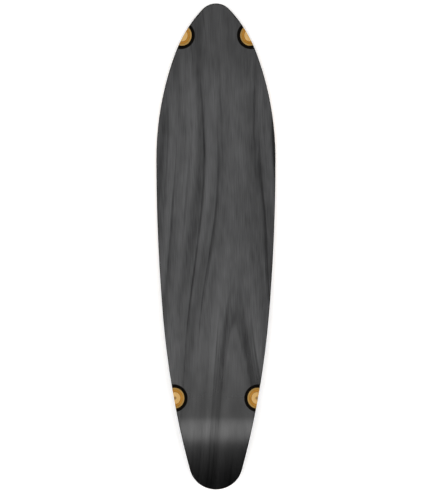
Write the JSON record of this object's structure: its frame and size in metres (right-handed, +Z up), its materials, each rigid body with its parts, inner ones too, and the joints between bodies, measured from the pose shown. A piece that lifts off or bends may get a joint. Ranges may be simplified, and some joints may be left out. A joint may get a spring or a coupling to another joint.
{
  "type": "longboard deck",
  "caption": "Laminated maple longboard deck with a pointed nose, a kicktail, concave, dished wheel wells and grip tape, not drilled for trucks.",
  "frame": {"origin": "on the surface that the deck lies on, under the middle of its box, with the riding face down and the underside up", "axes": "+Y along the deck towards the nose, +X across it, +Z up out of the underside"},
  "size_m": [0.249, 1.016, 0.0356],
  "materials": {
    "black_dyed_maple": "black dye under satin lacquer",
    "natural_maple": "clear satin lacquer",
    "cross_grain_maple": "clear satin lacquer on end grain",
    "grip_tape": "black silicon carbide grit"
  },
  "bodies": {
    "root": {"underside_face_ply": "black_dyed_maple", "underside_long_ply": "natural_maple", "underside_cross_ply": "cross_grain_maple", "core_ply": "natural_maple", "riding_cross_ply": "cross_grain_maple", "riding_long_ply": "natural_maple", "riding_face_ply": "black_dyed_maple", "grip_tape": "grip_tape"}
  },
  "joints": []
}
